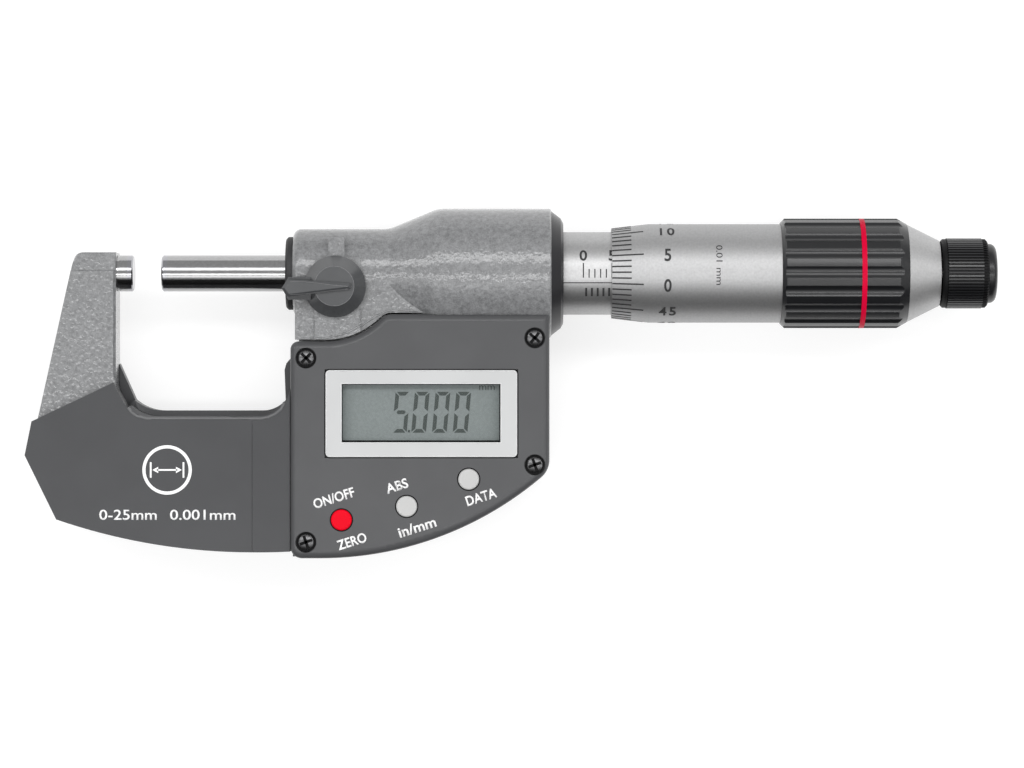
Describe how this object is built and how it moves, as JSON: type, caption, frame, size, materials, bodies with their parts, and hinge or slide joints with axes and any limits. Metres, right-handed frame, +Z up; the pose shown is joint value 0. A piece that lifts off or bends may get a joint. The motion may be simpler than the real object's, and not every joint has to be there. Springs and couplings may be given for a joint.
{
  "type": "digital outside micrometer",
  "caption": "Digital outside micrometer with a C-shaped bow, an anvil, a screwed spindle with thimble and ratchet stop, a clamp lever and a display unit with keys.",
  "frame": {"origin": "centre of the anvil's measuring face, on the spindle's axis", "axes": "+X along the spindle from the anvil to the ratchet, +Y across the bow towards the top of the display, +Z up out of the display with the instrument lying on its back"},
  "size_m": [0.1696, 0.061, 0.025],
  "materials": {
    "hammered_paint": "hammered grey-blue enamel on cast iron",
    "ground_steel": "ground hardened steel",
    "carbide": "lapped hard metal",
    "satin_chrome": "satin chrome on steel",
    "screw_steel": "plated steel",
    "spring_steel": "blued spring steel",
    "cell_steel": "nickel-plated can",
    "brass_parts": "turned brass",
    "dark_plastic": "fine spark-eroded texture",
    "black_plastic": "smooth satin moulding",
    "grip_plastic": "fluted satin moulding",
    "pale_plastic": "smooth pale grey moulding",
    "board_black": "moulded connector body",
    "board_green": "glass-fibre board with green resist",
    "ribbon_amber": "polyimide film",
    "red_plastic": "moulded red ring",
    "red_key": "moulded red key",
    "white_key": "moulded off-white key",
    "lcd": "grey-green display glass",
    "clear_pane": "clear flat pane",
    "seal_rubber": "moulded nitrile"
  },
  "bodies": {
    "body": {"frame": "hammered_paint", "anvil": "ground_steel", "anvil_tip": "carbide", "front_grip_plate": "dark_plastic", "display_housing": "dark_plastic", "back_cover": "dark_plastic", "housing_screws": "screw_steel", "back_cover_screws": "screw_steel", "bezel": "pale_plastic", "lcd_window": "clear_pane", "lcd_panel": "lcd", "zebra_strips": "seal_rubber", "circuit_board": "board_green", "keypad_mat": "seal_rubber", "housing_gasket": "seal_rubber", "battery": "cell_steel", "battery_contacts": "brass_parts", "data_connector": "board_black", "data_port_plug": "seal_rubber", "encoder_stator": "board_green", "encoder_ribbon": "ribbon_amber", "end_ring": "black_plastic", "spindle_seal": "seal_rubber", "inner_sleeve": "ground_steel", "main_sleeve": "satin_chrome", "adjusting_nut": "brass_parts", "thrust_spring": "spring_steel", "lock_pad": "brass_parts"},
    "rotor": {"encoder_rotor": "board_green", "rotor_hub": "brass_parts", "rotor_key": "ground_steel"},
    "spindle_group": {"spindle": "ground_steel", "spindle_tip": "carbide", "thimble": "satin_chrome", "thimble_grip": "grip_plastic", "red_band": "red_plastic", "tail_cone": "satin_chrome", "ratchet_screw": "screw_steel"},
    "ratchet": {"ratchet_knob": "grip_plastic", "ratchet_clutch": "ground_steel", "ratchet_spring": "spring_steel", "ratchet_end_cap": "black_plastic"},
    "clamp": {"lock_lever": "black_plastic", "lock_screw": "screw_steel"},
    "zero_key": {"zero_button": "red_key"},
    "abs_key": {"abs_button": "white_key"},
    "data_key": {"data_button": "white_key"},
    "cap": {"battery_cap": "black_plastic", "battery_seal": "seal_rubber"}
  },
  "joints": [
    {"name": "thimble_turn", "type": "hinge", "parent": "body", "child": "rotor", "pos_m": [0, 0, 0], "axis": [1, 0, 0], "range_deg": [-3600, 14400]},
    {"name": "spindle_feed", "type": "slide", "parent": "rotor", "child": "spindle_group", "axis": [1, 0, 0], "range_m": [-0.005, 0.02]},
    {"name": "ratchet_turn", "type": "hinge", "parent": "spindle_group", "child": "ratchet", "pos_m": [0.145, 0, 0], "axis": [1, 0, 0], "continuous": true},
    {"name": "lock_lever_turn", "type": "hinge", "parent": "body", "child": "clamp", "pos_m": [0.0356, -0.0025, 0.01], "axis": [0, 0, 1], "range_deg": [-90, 0]},
    {"name": "zero_press", "type": "slide", "parent": "body", "child": "zero_key", "axis": [0, 0, -1], "range_m": [0, 0.0004], "stiffness_N_per_m": 1500},
    {"name": "abs_press", "type": "slide", "parent": "body", "child": "abs_key", "axis": [0, 0, -1], "range_m": [0, 0.0004], "stiffness_N_per_m": 1500},
    {"name": "data_press", "type": "slide", "parent": "body", "child": "data_key", "axis": [0, 0, -1], "range_m": [0, 0.0004], "stiffness_N_per_m": 1500},
    {"name": "battery_cap_turn", "type": "hinge", "parent": "body", "child": "cap", "pos_m": [0.051, -0.029, -0.011], "axis": [0, 0, -1], "range_deg": [0, 90]}
  ],
  "couplings": [
    {"joint": "thimble_turn", "follows": "spindle_feed", "rad_per_m": 12566}
  ]
}
